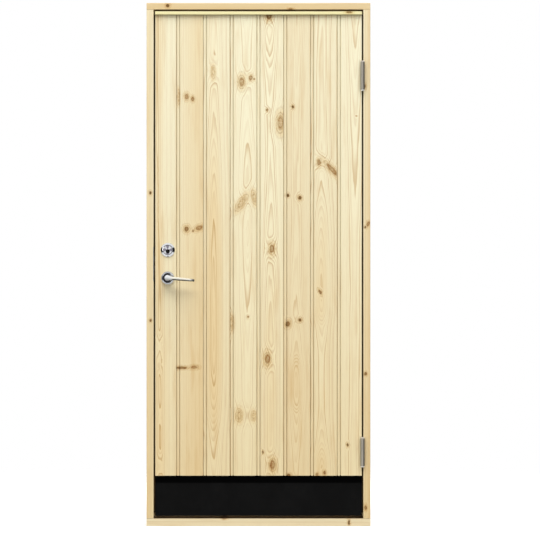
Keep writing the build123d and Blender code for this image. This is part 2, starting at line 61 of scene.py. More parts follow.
# %% [markdown]
# ## Measures of the solids
# Wood and metal are easier to think about in millimetres, so the solids are measured in them. A dark line
# on one piece often follows the edge of another, such as the shade under the strip. Reading that edge from
# its solid, instead of typing a number, keeps the two together.

# %% Measure
MM = 1000


def corners(name):
    """A node's lowest and highest corners, in millimetres."""
    return [[value * MM for value in corner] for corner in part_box(name)]


def hinge_span(half):
    """The heights of the foot and the top of the upper or lower hinge."""
    solids = [corners(f"{half}_hinge_{side}_half") for side in ("frame", "leaf")]
    return min(low[2] for low, _ in solids), max(high[2] for _, high in solids)


FACE = corners("board_1")[0][1]
LEAF_LEFT, BOARD_TOP = corners("board_1")[0][0], corners("board_1")[1][2]
LEAF_RIGHT = corners("board_8")[1][0]
print("leaf from", round(LEAF_LEFT, 1), "to", round(LEAF_RIGHT, 1), "face at", round(FACE, 1))

# %% [markdown]
# ## Arithmetic on shader sockets
# A grain pattern is mostly sums on numbers that change over the surface. Wiring each Math node by hand
# hides the sum, so one small class wraps an output socket, and Python's own operators add the nodes.
# `node` is the one door to every other kind of node: settings go in first, then values or links.

# %% A socket that can be added and multiplied
class Wire:
    """An output socket of a node tree, usable in sums."""

    def __init__(self, tree, socket=None):
        self.tree = tree
        self.socket = socket

    def node(self, kind, settings=None, sockets=None, out=0):
        made = self.tree.nodes.new(kind)
        for name, value in (settings or {}).items():
            if name == "curve":
                points = made.mapping.curves[0].points
                while len(points) < len(value):
                    points.new(0.5, 0.5)
                for point, place in zip(points, value):
                    point.location = place
                made.mapping.update()
            else:
                setattr(made, name, value)
        for name, value in (sockets or {}).items():
            if isinstance(value, Wire):
                self.tree.links.new(value.socket, made.inputs[name])
            else:
                made.inputs[name].default_value = value
        return Wire(self.tree, made.outputs[out] if made.outputs else None)

    def out(self, name):
        return Wire(self.tree, self.socket.node.outputs[name])

    def sum(self, operation, *terms):
        return self.node("ShaderNodeMath", {"operation": operation}, dict(enumerate(terms)))

    def vector(self, operation, sockets, out=0):
        return self.node("ShaderNodeVectorMath", {"operation": operation}, sockets, out)

    def __add__(self, other):
        return self.sum("ADD", self, other)

    def __radd__(self, other):
        return self.sum("ADD", other, self)

    def __sub__(self, other):
        return self.sum("SUBTRACT", self, other)

    def __rsub__(self, other):
        return self.sum("SUBTRACT", other, self)

    def __mul__(self, other):
        return self.sum("MULTIPLY", self, other)

    def __rmul__(self, other):
        return self.sum("MULTIPLY", other, self)

    def __truediv__(self, other):
        return self.sum("DIVIDE", self, other)

    def __pow__(self, other):
        return self.sum("POWER", self, other)

    def __abs__(self):
        return self.sum("ABSOLUTE", self)

    def floor(self):
        return self.sum("FLOOR", self)

    def fraction(self):
        return self - self.floor()

    def least(self, other):
        return self.sum("MINIMUM", self, other)

    def most(self, other):
        return self.sum("MAXIMUM", self, other)

    def ease(self, start, end, low=0.0, high=1.0):
        """A smooth step from low at start to high at end."""
        limits = {"From Min": start, "From Max": end, "To Min": low, "To Max": high}
        return self.node("ShaderNodeMapRange", {"interpolation_type": "SMOOTHSTEP"},
                         {"Value": self, **limits})

    def mix(self, under, over, blend="MIX"):
        """Colours: self is the share of the second one."""
        return self.node("ShaderNodeMix", {"data_type": "RGBA", "blend_type": blend},
                         {0: self, 6: under, 7: over}, 2)


def paint(red, green, blue):
    """A screen colour from 0 to 255, as the linear colour that shaders work in."""
    linear = []
    for part in (red, green, blue):
        part = part / 255
        linear.append(part / 12.92 if part <= 0.04045 else ((part + 0.055) / 1.055) ** 2.4)
    return (*linear, 1.0)


print("wire helpers ready; mid grey is", round(paint(128, 128, 128)[0], 3))

# %% [markdown]
# ## A material that starts empty
# Each finish is one Principled shader. A helper makes the material, hands back its shader, and gives the
# surface's own place in millimetres. Noise that is stretched along one direction then serves for wood
# fibre, drawn metal and dust alike, so it gets a helper too.

# %% Start a finish
def start_finish(name):
    finish = bpy.data.materials.new(name)
    finish.use_nodes = True
    wire = Wire(finish.node_tree)
    place = wire.node("ShaderNodeTexCoord", out="Object")
    place = wire.vector("SCALE", {0: place, "Scale": MM})
    return finish, finish.node_tree.nodes["Principled BSDF"], place


def axes(place):
    """The three coordinates of a place, by letter."""
    parts = place.node("ShaderNodeSeparateXYZ", None, {"Vector": place})
    return {axis: parts.out(axis) for axis in "XYZ"}


def feed(shader, name, wire):
    wire.tree.links.new(wire.socket, shader.inputs[name])


def stretched_noise(place, cell, seed, detail=2.0, rough=0.5):
    """Noise from about 0 to 1 whose cells measure cell = (x, y, z) millimetres."""
    spread = place.node("ShaderNodeMapping", {"vector_type": "POINT"},
                        {"Vector": place, "Location": (seed * 7.3, seed * 3.1, seed * 5.7),
                         "Scale": tuple(1 / size for size in cell)})
    return place.node("ShaderNodeTexNoise", {"noise_dimensions": "3D"},
                      {"Vector": spread, "Scale": 1.0, "Detail": detail, "Roughness": rough})


def raise_surface(shader, height, millimetres, strength=1.0):
    bump = height.node("ShaderNodeBump", None,
                       {"Height": height, "Distance": millimetres / MM, "Strength": strength})
    feed(shader, "Normal", bump)


dressed = {}


def dress(name, finish):
    """Give a node its one finish."""
    skin = nodes[name].data.materials
    skin.clear()
    skin.append(finish)
    dressed[name] = finish.name


print("finish helpers ready")

# %% [markdown]
# ## Pine, grown rather than painted
# A board is a slice through a tree, so the shader keeps the tree: the distance to the pith, the tree's
# middle line, says which growth ring a point belongs to. Where the pith comes nearer to the face or
# turns away from it, the rings are cut slantwise and draw the flames that flat-sawn boards show. The
# pattern is solid, so edges and board ends show the same rings.
# Wood colours are laid over each other by share. Knots and painted shade darken what lies under them,
# so they multiply: mixed in as a plain brown they would turn the wood grey.

# %% Colours of pine
SAPWOOD = paint(253, 247, 215)
HEARTWOOD, HEART_SHARE = paint(244, 224, 178), 0.85
LATEWOOD, LATE_SHARE, FIBRE_SHARE = paint(204, 164, 104), 0.55, 0.14
STREAK, STREAK_SHARE = paint(220, 186, 128), 0.35
# painted shade: upright wood is multiplied by this towards its foot, standing in for light that falls off
# downwards
FALL_OFF_SHADE = paint(243, 232, 214)
AMBER_STAIN, AMBER_SHARE = (0.86, 0.70, 0.46, 1), 0.7
KNOT_STAIN = (0.42, 0.25, 0.10, 1)
BARK_STAIN, BARK_SHARE = (0.34, 0.32, 0.20, 1), 0.9
# the near-black brown that painted shade multiplies into the wood
PAINTED_SHADE_TONE = (0.07, 0.035, 0.01, 1)
print("pine colours: 5, stains: 4")

# %% How the grain lies
UPRIGHT = {"across": "X", "along": "Z", "start": 0.0, "length": 2100.0,
           "slow": (40, 40, 420), "thin": (9, 60, 260), "fibre": (0.9, 2, 45)}
LYING = {"across": "Z", "along": "X", "start": -450.0, "length": 900.0,
         "slow": (420, 40, 40), "thin": (260, 60, 9), "fibre": (45, 2, 0.9)}


def drawn_line(share, lie, points):
    """A value that changes smoothly along the piece, through points of (place, millimetres)."""
    low = min(value for _, value in points)
    high = max(value for _, value in points)
    span = max(high - low, 1e-6)
    curve = [((spot - lie["start"]) / lie["length"], (value - low) / span) for spot, value in points]
    return share.node("ShaderNodeFloatCurve", {"curve": curve}, {"Value": share}) * span + low


def late_wood(radius, ring, seed):
    """The dark end of each year's ring, stronger in some years than in others."""
    turns = radius / ring
    year = turns.floor()
    season = turns - year
    vigour = year.node("ShaderNodeTexWhiteNoise", {"noise_dimensions": "1D"}, {"W": year + seed * 13})
    return season.ease(0.25, 0.9) * season.ease(1.0, 0.9) * (vigour * vigour * 0.8 + 0.2)


print("grain runs along", UPRIGHT["along"], "in upright wood and", LYING["along"], "in lying wood")

# %% [markdown]
# ## Knots
# A knot is a branch: an oval that pushes the rings aside, with a darker core, a broken bark rim, fine
# loops of grain and an amber halo. It could be a texture on its own little mesh, but then the rings would
# not bend round it. Here every knot bends the same distance that draws the rings. Its own distance is
# counted in knot radii, 1 on the rim, and is measured in a crooked space so that no oval is perfect.

# %% Knots push the rings
CROOK = 8.0
BULGE_REACH, MARK_REACH, SWIRL_REACH = 4.5, 3.6, 1.6


def crooked_place(place, seed):
    """The place, pushed about by up to half of CROOK each way."""
    warp = stretched_noise(place, (14, 30, 14), seed, detail=3.0)
    push = place.vector("SCALE", {0: warp.out("Color"), "Scale": CROOK})
    moved = place.vector("ADD", {0: place, 1: push})
    return place.vector("SUBTRACT", {0: moved, 1: (CROOK / 2, CROOK / 2, CROOK / 2)})


def oval(crooked, spot_x, spot_z, half_x, half_z, tilt):
    """Distance from the spot, 1 on the oval's rim, the same at every depth."""
    turned = crooked.node("ShaderNodeMapping", {"vector_type": "TEXTURE"},
                          {"Vector": crooked, "Location": (spot_x, 0, spot_z),
                           "Rotation": (0, math.radians(tilt), 0), "Scale": (half_x, 1e5, half_z)})
    return turned.vector("LENGTH", {0: turned}, "Value")


def push_rings(radius, crooked, knots, swirls):
    """The radius, bulged by knots and swirls; how near the nearest knot is; how dark it is here."""
    near = dark = None
    for *spot, darkness in knots:
        away = oval(crooked, *spot)
        here = away.ease(MARK_REACH, 1.0, 0.0, darkness)
        radius = radius + away.ease(BULGE_REACH, 0.6, 0.0, 0.6 * spot[2] + 2.5)
        near = away if near is None else near.least(away)
        dark = here if dark is None else dark.most(here)
    for *spot, lift in swirls:
        radius = radius + oval(crooked, *spot).ease(SWIRL_REACH, 0.0, 0.0, lift)
    return radius, near, dark


print("knots reach", BULGE_REACH, "times their own radius")

# %% Knots stain the wood
HALO_REACH, LOOP_SHARE, RIM_SHARE = 3.2, 0.4, 0.45


def stain_knots(colour, near, dark, spike, thin):
    """The colour with its knots on it, and the masks of their cores and rims."""
    near = near + (spike - 0.5) * 0.5
    broken = spike.ease(0.38, 0.62)
    core = near.ease(1.25, 0.8)
    rim = near.ease(1.35, 1.1) * near.ease(0.75, 1.0)
    twig = (near * 2.2 + spike * 2.0).fraction().ease(0.4, 0.95)
    loops = (near * 1.25 + thin * 0.5).fraction().ease(0.55, 0.95)
    loops = loops * near.ease(MARK_REACH, 1.6) * dark.ease(0.1, 0.6)
    halo = near.ease(HALO_REACH, 0.9) * dark.ease(0.0, 0.5) * (broken * 0.5 + 0.5)
    fill = core * (dark * (dark.ease(0.4, 0.88) * 0.7 + twig * broken * 0.6))
    fill = fill + rim * dark.ease(0.0, 0.45) * spike * RIM_SHARE + loops * LOOP_SHARE
    bark = core * dark.ease(0.72, 1.02)
    colour = (halo * AMBER_SHARE).mix(colour, AMBER_STAIN, "MULTIPLY")
    colour = fill.least(1.0).mix(colour, KNOT_STAIN, "MULTIPLY")
    colour = (bark * BARK_SHARE).mix(colour, BARK_STAIN, "MULTIPLY")
    return colour, core, rim


print("halos reach", HALO_REACH, "times a knot's radius")

# %% The pine shader
WANDER, RING_WOBBLE = 7.0, 2.2
PINE_ROUGH, PINE_SHINE, GRAIN_DEPTH = 0.62, 0.35, 0.25


def pine(name, pith, depth, ring, heart, seed, knots=(), swirls=(), tone=0.0, contrast=1.0,
         stains_and_painted_shades=(), tint=None, lie=UPRIGHT, face=FACE):
    """Pine whose pith runs along the piece at `pith`, `depth` behind its face, in rings `ring` wide.

    pith and depth are lists of (place along the piece, millimetres). Knots are (x, z, half width,
    half height, tilt, darkness) and swirls (x, z, half width, half height, tilt, lift). heart gives the
    distances from the pith between which red heartwood turns to pale sapwood. Each painted shade is a
    strength with (axis, start, end) limits: painted shade that grows from start to end on each axis.
    """
    finish, shader, place = start_finish(name)
    at = axes(place)
    share = (at[lie["along"]] - lie["start"]) / lie["length"]
    slow = stretched_noise(place, lie["slow"], seed) - 0.5
    thin = stretched_noise(place, lie["thin"], seed + 1) - 0.5
    side = at[lie["across"]] - drawn_line(share, lie, pith)
    back = at["Y"] - face - drawn_line(share, lie, depth) + slow * WANDER
    radius = (side * side + back * back) ** 0.5 + thin * RING_WOBBLE
    crooked = crooked_place(place, seed + 2)
    radius, near, dark = push_rings(radius, crooked, knots, swirls)
    late = late_wood(radius, ring, seed)
    if knots:
        late = late * near.ease(4.0, 1.5, 1.0, 1.2)
    old = (radius + slow * 30).ease(heart[1], heart[0])
    streak = stretched_noise(place, tuple(size * 0.6 for size in lie["slow"]), seed + 3, detail=4.0)
    grain = stretched_noise(place, lie["fibre"], seed + 4, detail=3.0, rough=0.6)

    colour = (old * HEART_SHARE).mix(SAPWOOD, HEARTWOOD)
    colour = (late * LATE_SHARE * contrast).mix(colour, LATEWOOD)
    colour = (streak.ease(0.5, 0.8) * STREAK_SHARE + tone).mix(colour, STREAK)
    colour = (grain.ease(0.42, 0.75) * FIBRE_SHARE).mix(colour, LATEWOOD)
    # painted shade: darker and warmer towards the foot of upright wood, as light falls off downwards
    if lie is UPRIGHT:
        colour = share.ease(1.0, -0.1).mix(colour, FALL_OFF_SHADE, "MULTIPLY")
    if tint:
        colour = colour.node("ShaderNodeMix", {"data_type": "RGBA", "blend_type": "MULTIPLY"},
                             {0: 1.0, 6: colour, 7: tint}, 2)
    rough = PINE_ROUGH - late * 0.1 + grain * 0.08
    height = grain * 0.6 + late * 0.4
    if knots:
        spike = stretched_noise(crooked, (6, 6, 6), seed + 5, detail=4.0, rough=0.7)
        colour, core, rim = stain_knots(colour, near, dark, spike, thin)
        height = height - rim * 0.6
        rough = rough - core * 0.15
    # painted shade: each entry darkens the colour towards near-black brown where light hardly reaches
    for strength, *limits in stains_and_painted_shades:
        for axis, start, end in limits:
            strength = strength * at[axis].ease(start, end)
        colour = strength.mix(colour, PAINTED_SHADE_TONE, "MULTIPLY")
    feed(shader, "Base Color", colour)
    feed(shader, "Roughness", rough)
    raise_surface(shader, height, GRAIN_DEPTH, 0.5)
    shader.inputs["Specular IOR Level"].default_value = PINE_SHINE
    return finish


print("pine shader ready")

# %% [markdown]
# ## Dark where light does not reach
# On the real door the grooves between boards, the gap round the leaf, the wood under the strip and the
# wood behind the hinges are dark. Lamps as wide as these hardly shade such narrow places, so shade is
# painted into the wood's colour there: a little in the grooves, almost black in the mouths of the gaps.
# Each painted shade follows an edge of the solids and fades within some millimetres of it.

# %% Painted shade along edges
# painted shade: the grooves beside the beads are darkened a little
GROOVE_SHADE = (0.21, ("Y", FACE + 1.2, FACE + 3.1))
# the depth behind the face over which the gaps' painted shade fades out
MOUTH = ("Y", FACE + 24.5, FACE + 6.5)
# painted shadow on the boards just under the top strip
UNDER_STRIP_SHADE = (0.5, ("Z", BOARD_TOP - 6, BOARD_TOP - 1))
# painted shadow on the boards round each hinge barrel
HINGE_SHADE = []
for half in ("upper", "lower"):
    foot, top = hinge_span(half)
    HINGE_SHADE.append((0.3, ("X", LEAF_RIGHT - 16, LEAF_RIGHT - 2),
                        ("Z", foot - 8, foot + 8), ("Z", top + 10, top - 6)))


def gap_mouth_shade(edge, inward):
    """Painted shade on the side of an upright gap: edge is the wood's own, inward 1 or -1 points into it.
    """
    return (0.9, ("X", edge + inward * 0.5, edge + inward * 0.2), MOUTH)


print("shaded hinges:", len(HINGE_SHADE))

# %% [markdown]
# ## Eight boards from eight trees
# Each board on the real door has its own flames and knots, and those are what one recognises it by. So
# each gets its own pith line and its own list of knots, written as places on the door in millimetres.
# A depth that shrinks upwards draws flames that open upwards, and one that grows turns them over.

# %% Boards 1 to 4
# Every board gets painted shade in its grooves and painted shadow under the strip, with any further
# shades.
def dress_board(number, groove_shade=GROOVE_SHADE, shades=(), **growth):
    dress(f"board_{number}", pine(f"pine_board_{number}", seed=number,
                                  stains_and_painted_shades=[groove_shade, *shades, UNDER_STRIP_SHADE], **growth))


# Board 1 also gets painted shade in the mouth of the gap at its left edge.
dress_board(
    1, pith=[(0, -392), (900, -393), (1400, -402), (2100, -400)], depth=[(0, 7), (2100, 7)],
    swirls=[(-392, 716, 14, 52, 0, 9), (-390, 636, 9, 34, 0, 5), (-392, 440, 6, 44, 0, 3),
            (-392, 239, 12, 52, 0, 9), (-409, 1277, 9, 190, 0, 6)],
    ring=3.0, heart=(-8, 36), contrast=1.5,
    groove_shade=(*GROOVE_SHADE, ("X", LEAF_LEFT + 1.5, LEAF_LEFT + 4.5)), shades=[gap_mouth_shade(LEAF_LEFT, 1)])
dress_board(
    2, pith=[(0, -214), (2100, -216)], depth=[(0, 22), (1000, 18), (2100, 24)],
    knots=[(-286, 1707, 7, 10, 0, 0.77), (-262, 1699, 6, 8, 0, 0.82), (-317, 1707, 4, 20, 0, 0.56),
           (-286, 1181, 9, 10, 0, 0.86), (-260, 1174, 3, 4, 0, 0.83), (-235, 1185, 14, 8, -20, 0.78),
           (-306, 629, 20, 5, 0, 0.86), (-256, 631, 12, 6, 0, 0.78)],
    ring=2.3, heart=(-30, 130), tone=0.14)
dress_board(
    3, pith=[(0, -174), (800, -178), (2100, -176)],
    depth=[(0, 46), (294, 38), (540, 17), (800, 9), (1038, 11), (1635, 32), (2100, 42)],
    knots=[(-180, 1806, 7, 17, 0, 0.5)], ring=3.2, heart=(12, 50), tone=0.05, contrast=1.6)
dress_board(
    4, pith=[(0, -46), (1000, -44), (2100, -50)],
    depth=[(0, 44), (700, 40), (1250, 32), (1850, 44), (2100, 26)],
    knots=[(-67, 1766, 10, 18, 0, 0.75), (-31, 1782, 6, 10, 0, 0.8), (-18, 1778, 3, 4, 0, 0.8),
           (-67, 1285, 10, 27, 35, 0.58), (-16, 1305, 8, 20, -10, 0.59), (-42, 831, 3, 4, 0, 0.82),
           (-77, 440, 10, 18, 0, 0.54), (-19, 438, 8, 14, 0, 0.46), (-108, 808, 8, 20, 0, 0.5)],
    swirls=[(-42, 1165, 12, 110, 0, -7)], ring=3.4, heart=(-14, 30), contrast=1.2)
print("boards finished:", sorted(dressed))

# %% Boards 5 to 8
dress_board(
    5, pith=[(0, 44), (1000, 48), (2100, 40)],
    depth=[(0, 26), (600, 22), (1102, 32), (1600, 40), (1900, 30), (2100, 14)],
    knots=[(41, 2030, 10, 15, 0, 0.87), (34, 1655, 4, 5, 0, 0.85), (88, 1603, 12, 27, 0, 0.7),
           (53, 1102, 9, 16, 0, 0.8), (36, 664, 10, 18, 0, 0.78), (18, 294, 3, 5, 0, 0.9),
           (56, 243, 10, 18, 0, 0.74)],
    ring=3.3, heart=(-4, 40), contrast=1.2)
dress_board(
    6, pith=[(0, 152), (560, 150), (2100, 156)],
    depth=[(0, 40), (440, 26), (560, 15), (700, 30), (1300, 40), (2100, 36)],
    knots=[(137, 1667, 4, 5, 0, 1.0), (117, 1315, 5, 6, 0, 1.0), (165, 1305, 6, 7, -20, 0.93),
           (117, 804, 8, 11, 20, 0.86), (165, 819, 6, 6, 0, 0.92), (121, 203, 6, 5, 0, 0.9)],
    ring=2.8, heart=(-20, 40), tone=0.22, contrast=1.3)
dress_board(
    7, pith=[(0, 253), (1100, 250), (2100, 256)],
    depth=[(0, 10), (180, 12), (360, 30), (560, 36), (780, 30), (931, 15), (1066, 19), (1240, 29),
           (1444, 40), (2100, 44)],
    knots=[(241, 1447, 7, 11, 0, 0.8), (292, 1418, 8, 30, -42, 0.78), (245, 931, 4, 9, -30, 0.86),
           (233, 203, 5, 6, 0, 0.8), (263, 211, 5, 7, 0, 0.85)],
    ring=3.2, heart=(-4, 40), tone=0.1, contrast=1.6)
# Board 8 also gets painted shade in the mouth of the gap and painted shadow round the hinges.
dress_board(
    8, pith=[(0, 380), (2100, 386)], depth=[(0, 44), (1000, 46), (1900, 34), (2100, 14)],
    knots=[(388, 1631, 2, 2.5, 0, 0.2), (354, 322, 4, 6, 0, 0.97)],
    ring=3.4, heart=(-15, 29), tone=0.02, contrast=1.3,
    groove_shade=(*GROOVE_SHADE, ("X", LEAF_RIGHT - 2, LEAF_RIGHT - 5)),
    shades=[gap_mouth_shade(LEAF_RIGHT, -1), *HINGE_SHADE])
print("boards finished:", len(dressed))

# %% [markdown]
# ## Frame, strip and the wood inside
# The frame is a warmer, plainer pine. Head, sill and strip lie down, so their grain runs along X, and the
# shader only has to swap two axes. Stops, stiles and rails show when the door stands open, and share two
# finishes, because nobody compares them side by side.

# %% Jambs
# Each jamb gets painted shade in the mouth of the gap round the leaf.
dress("latch_jamb", pine(
    "pine_latch_jamb", pith=[(0, -474), (2100, -470)], depth=[(0, 20), (2100, 30)],
    knots=[(-429, 1325, 4, 6, 0, 1.0), (-429, 817, 4, 5, 0, 0.92)],
    ring=2.3, heart=(22, 66), tone=0.14, seed=11, contrast=1.5,
    stains_and_painted_shades=[gap_mouth_shade(corners("latch_jamb")[1][0], -1)]))
dress("hinge_jamb", pine(
    "pine_hinge_jamb", pith=[(0, 474), (2100, 478)], depth=[(0, 24), (2100, 18)],
    knots=[(422, 1748, 4, 8, 0, 1.0), (436, 1201, 5, 10, 25, 0.8), (425, 1189, 3, 4, 0, 0.95),
           (426, 605, 5, 6, 0, 0.88), (426, 73, 5, 8, 0, 0.85)],
    ring=2.3, heart=(26, 70), tone=0.2, seed=12, contrast=1.5,
    stains_and_painted_shades=[gap_mouth_shade(corners("hinge_jamb")[0][0], 1)]))
print("jambs finished:", dressed["latch_jamb"], dressed["hinge_jamb"])

# %% Head, sill and strip
HEAD_UNDER = corners("frame_head")[0][2]
SILL_SEAT = corners("latch_jamb")[0][2]
STOP_FACE = corners("latch_stop")[0][1]
STRIP_TOP, STRIP_FACE = corners("top_strip")[1][2], corners("top_strip")[0][1]
# painted shade under the head's lip, in the gap above the leaf
dress("frame_head", pine(
    "pine_head", pith=[(-450, 2034), (450, 2030)], depth=[(-450, 26), (450, 30)],
    knots=[(-361, 2069, 6, 6, 0, 0.95), (128, 2057, 8, 3, 0, 0.8)],
    ring=2.6, heart=(32, 76), tone=0.5, seed=13, lie=LYING, contrast=1.5,
    stains_and_painted_shades=[(0.8, ("Z", HEAD_UNDER + 0.9, HEAD_UNDER + 0.1), MOUTH)]))
# painted shade on the sill's seat under the closed leaf
dress("frame_sill", pine(
    "pine_sill", pith=[(-450, -16), (450, -20)], depth=[(-450, 30), (450, 26)],
    knots=[(-135, 31, 8, 4, 0, 0.8), (360, 14, 4, 9, 0, 0.95)],
    ring=3.0, heart=(6, 50), tone=0.35, seed=14, lie=LYING, contrast=1.5,
    stains_and_painted_shades=[(0.97, ("Z", SILL_SEAT - 1.4, SILL_SEAT - 0.6), ("Y", STOP_FACE - 0.5, STOP_FACE - 4.5))]))
# painted shade along the strip's top edge, in the gap under the head
dress("top_strip", pine(
    "pine_strip", pith=[(-450, 2010), (450, 2012)], depth=[(-450, 18), (450, 18)],
    knots=[(360, 2042, 10, 4, 0, 0.85)],
    ring=2.4, heart=(-15, 29), seed=15, lie=LYING, tint=(0.99, 1.0, 0.78, 1), face=STRIP_FACE,
    stains_and_painted_shades=[(0.8, ("Z", STRIP_TOP - 1.1, STRIP_TOP - 0.2))]))
print("lying wood finished; the sill's seat is at", round(SILL_SEAT, 1))

# %% Stops, stiles and rails
# painted shade on the stops just behind the gaps round the leaf
BEHIND_LEAF = ("Y", STOP_FACE + 6.5, STOP_FACE + 1.5)
plain_upright = pine(
    "pine_plain_upright", pith=[(0, 0), (2100, 6)], depth=[(0, 60), (2100, 40)],
    ring=3.0, heart=(12, 56), tone=0.08, seed=16,
    stains_and_painted_shades=[(0.9, ("X", LEAF_LEFT + 0.5, LEAF_LEFT - 1.5), BEHIND_LEAF),
            (0.9, ("X", LEAF_RIGHT, LEAF_RIGHT + 2), BEHIND_LEAF)])
plain_lying = pine(
    "pine_plain_crosswise", pith=[(-450, 1000), (450, 1010)], depth=[(-450, 60), (450, 40)],
    ring=3.0, heart=(12, 56), tone=0.08, seed=17, lie=LYING)
for name in ("latch_stop", "hinge_stop", "latch_stile", "hinge_stile"):
    dress(name, plain_upright)
for name in ("head_stop", "top_rail", "lock_rail", "bottom_rail"):
    dress(name, plain_lying)
print("wooden pieces finished:", len(dressed))

# %% [markdown]
# ## Plywood inside
# Plywood is peeled off a turning log, so one ring spreads over a wide wandering band. Contour lines of a
# slow, upright noise draw that. Only the sheet's edges show its three layers, so the layers follow depth.

# %% Plywood
SHEET_MIDDLE = sum(corner[1] for corner in corners("inner_sheet")) / 2


def plywood():
    finish, shader, place = start_finish("plywood")
    peel = stretched_noise(place, (150, 400, 620), 21, detail=1.5) * 15
    peel = peel + stretched_noise(place, (22, 400, 160), 22, detail=2.0) * 0.8
    season = peel.fraction()
    late = season.ease(0.1, 0.93) * season.ease(1.0, 0.93)
    vigour = peel.node("ShaderNodeTexWhiteNoise", {"noise_dimensions": "1D"}, {"W": peel.floor()})
    fibre = stretched_noise(place, (1.1, 400, 60), 23, detail=3.0)
    blotch = stretched_noise(place, (160, 400, 500), 24, detail=3.0)
    crossband = abs(axes(place)["Y"] - SHEET_MIDDLE).ease(1.15, 0.95)
    colour = blotch.ease(0.35, 0.7).mix(paint(238, 216, 170), paint(228, 200, 150))
    colour = (late * (vigour * 0.4 + 0.15)).mix(colour, paint(192, 142, 86))
    colour = (fibre.ease(0.45, 0.75) * 0.25).mix(colour, paint(206, 166, 112))
    colour = (crossband * 0.7).mix(colour, paint(158, 116, 72))
    feed(shader, "Base Color", colour)
    feed(shader, "Roughness", 0.6 - late * 0.1 + fibre * 0.1)
    raise_surface(shader, fibre + late * 0.5, 0.2, 0.4)
    return finish


dress("inner_sheet", plywood())
print("inner sheet finished; its middle layer lies at", round(SHEET_MIDDLE, 1))

# %% [markdown]
# ## Black plate and rubber seal
# The kick plate is powder coated: matt black with a faint orange-peel skin, with a painted shadow that
# makes it blacker towards its top, where the boards hang over it. The seal's rubber is softer and dustier.
# Both are two near tones under slow dust, with a fine bump for the skin, so one function makes both.

# %% Coats
def coated(name, dark, light, rough, cell, bump, shine, shade=None):
    """A painted or moulded skin: two near tones, a fine bumpy surface, and painted shadow above shade."""
    finish, shader, place = start_finish(name)
    skin = stretched_noise(place, (cell, cell, cell), 31, detail=2.0)
    dust = stretched_noise(place, (60, 60, 90), 32, detail=5.0, rough=0.65)
    colour = dust.ease(0.35, 0.75).mix(dark, light)
    # painted shadow: black above the given heights
    if shade:
        colour = axes(place)["Z"].ease(*shade).mix(colour, (0, 0, 0, 1))
    feed(shader, "Base Color", colour)
    feed(shader, "Roughness", dust * 0.2 + (rough - 0.1) + skin * 0.06)
    raise_surface(shader, skin, bump, 0.5)
    shader.inputs["Specular IOR Level"].default_value = shine
    return finish


# the plate's painted shadow under the overhanging boards starts at 169 to 172 mm
dress("kick_plate", coated("black_coat", paint(16, 16, 16), paint(21, 21, 21), rough=0.62, cell=1.6,
                           bump=0.12, shine=0.05, shade=(169, 172)))
dress("weather_seal", coated("seal_rubber", paint(24, 22, 20), paint(36, 34, 31), rough=0.75, cell=0.8,
                             bump=0.06, shine=0.25))
print("coats:", dressed["kick_plate"], dressed["weather_seal"])

# %% [markdown]
# ## Plated metal
# Lock case, bolts, strike and screws are zinc plated, satin, with a fine drawn texture along the metal.
# The small trims are polished chrome, nearly all reflection, and need only faint wiping marks. A fully
# metallic shader takes its colour from what it mirrors, so the two tones here only tint that.

# %% Plain metals
WIPE_CELL = (14, 14, 22)
CHROME = paint(214, 216, 218), paint(232, 233, 235)


def plated(name, dark, light, rough, drawn, smudge):
    """Plated metal: drawn gives the cell of its fine lines, smudge how far wiping dulls it."""
    finish, shader, place = start_finish(name)
    lines = stretched_noise(place, drawn, 41, detail=3.0)
    wipes = stretched_noise(place, WIPE_CELL, 42, detail=4.0, rough=0.6)
    feed(shader, "Base Color", (lines * 0.5 + wipes * 0.5).ease(0.35, 0.65).mix(dark, light))
    feed(shader, "Roughness", wipes.ease(0.4, 0.75) * smudge + rough + lines * 0.04)
    raise_surface(shader, lines, 0.02, 0.3)
    shader.inputs["Metallic"].default_value = 1.0
    return finish


chrome = plated("chrome", *CHROME, rough=0.06, drawn=(3, 3, 3), smudge=0.07)
zinc = plated("zinc", paint(160, 160, 158), paint(186, 186, 184), rough=0.28, drawn=(2.5, 2.5, 40),
              smudge=0.1)
dark_steel = plated("dark_steel", paint(34, 34, 34), paint(52, 52, 52), rough=0.3, drawn=(1.5, 6, 1.5),
                    smudge=0.1)
dress("key_plug", dark_steel)
for name in ("cylinder_ring", "turn_rose", "thumb_turn"):
    dress(name, chrome)
for name in ("strike_plate", "lock_case", "latch_bolt", "dead_bolt", "spindle"):
    dress(name, zinc)
print("plain metals: 3, pieces finished so far:", len(dressed))

# %% [markdown]
# ## Hinges
# The hinges are dull zinc, which scatters light much as grey paint does, so they are only partly metallic.
# The round barrel carries a painted highlight a little left of the pin and painted shade where it turns
# away from the viewer, and both its ends wear pale caps, the upper one painted darker as shade. The
# caps' places are worked out from the hinge solids, and so is the line of the pin.

# %% Hinge zinc
HINGE_PIN = (corners("upper_hinge_frame_half")[0][0] + corners("upper_hinge_leaf_half")[1][0]) / 2
# the line of the barrel's painted highlight, a little left of the pin
PAINTED_HIGHLIGHT_LINE = HINGE_PIN - 2.4
CAP_HEIGHT = 5.4


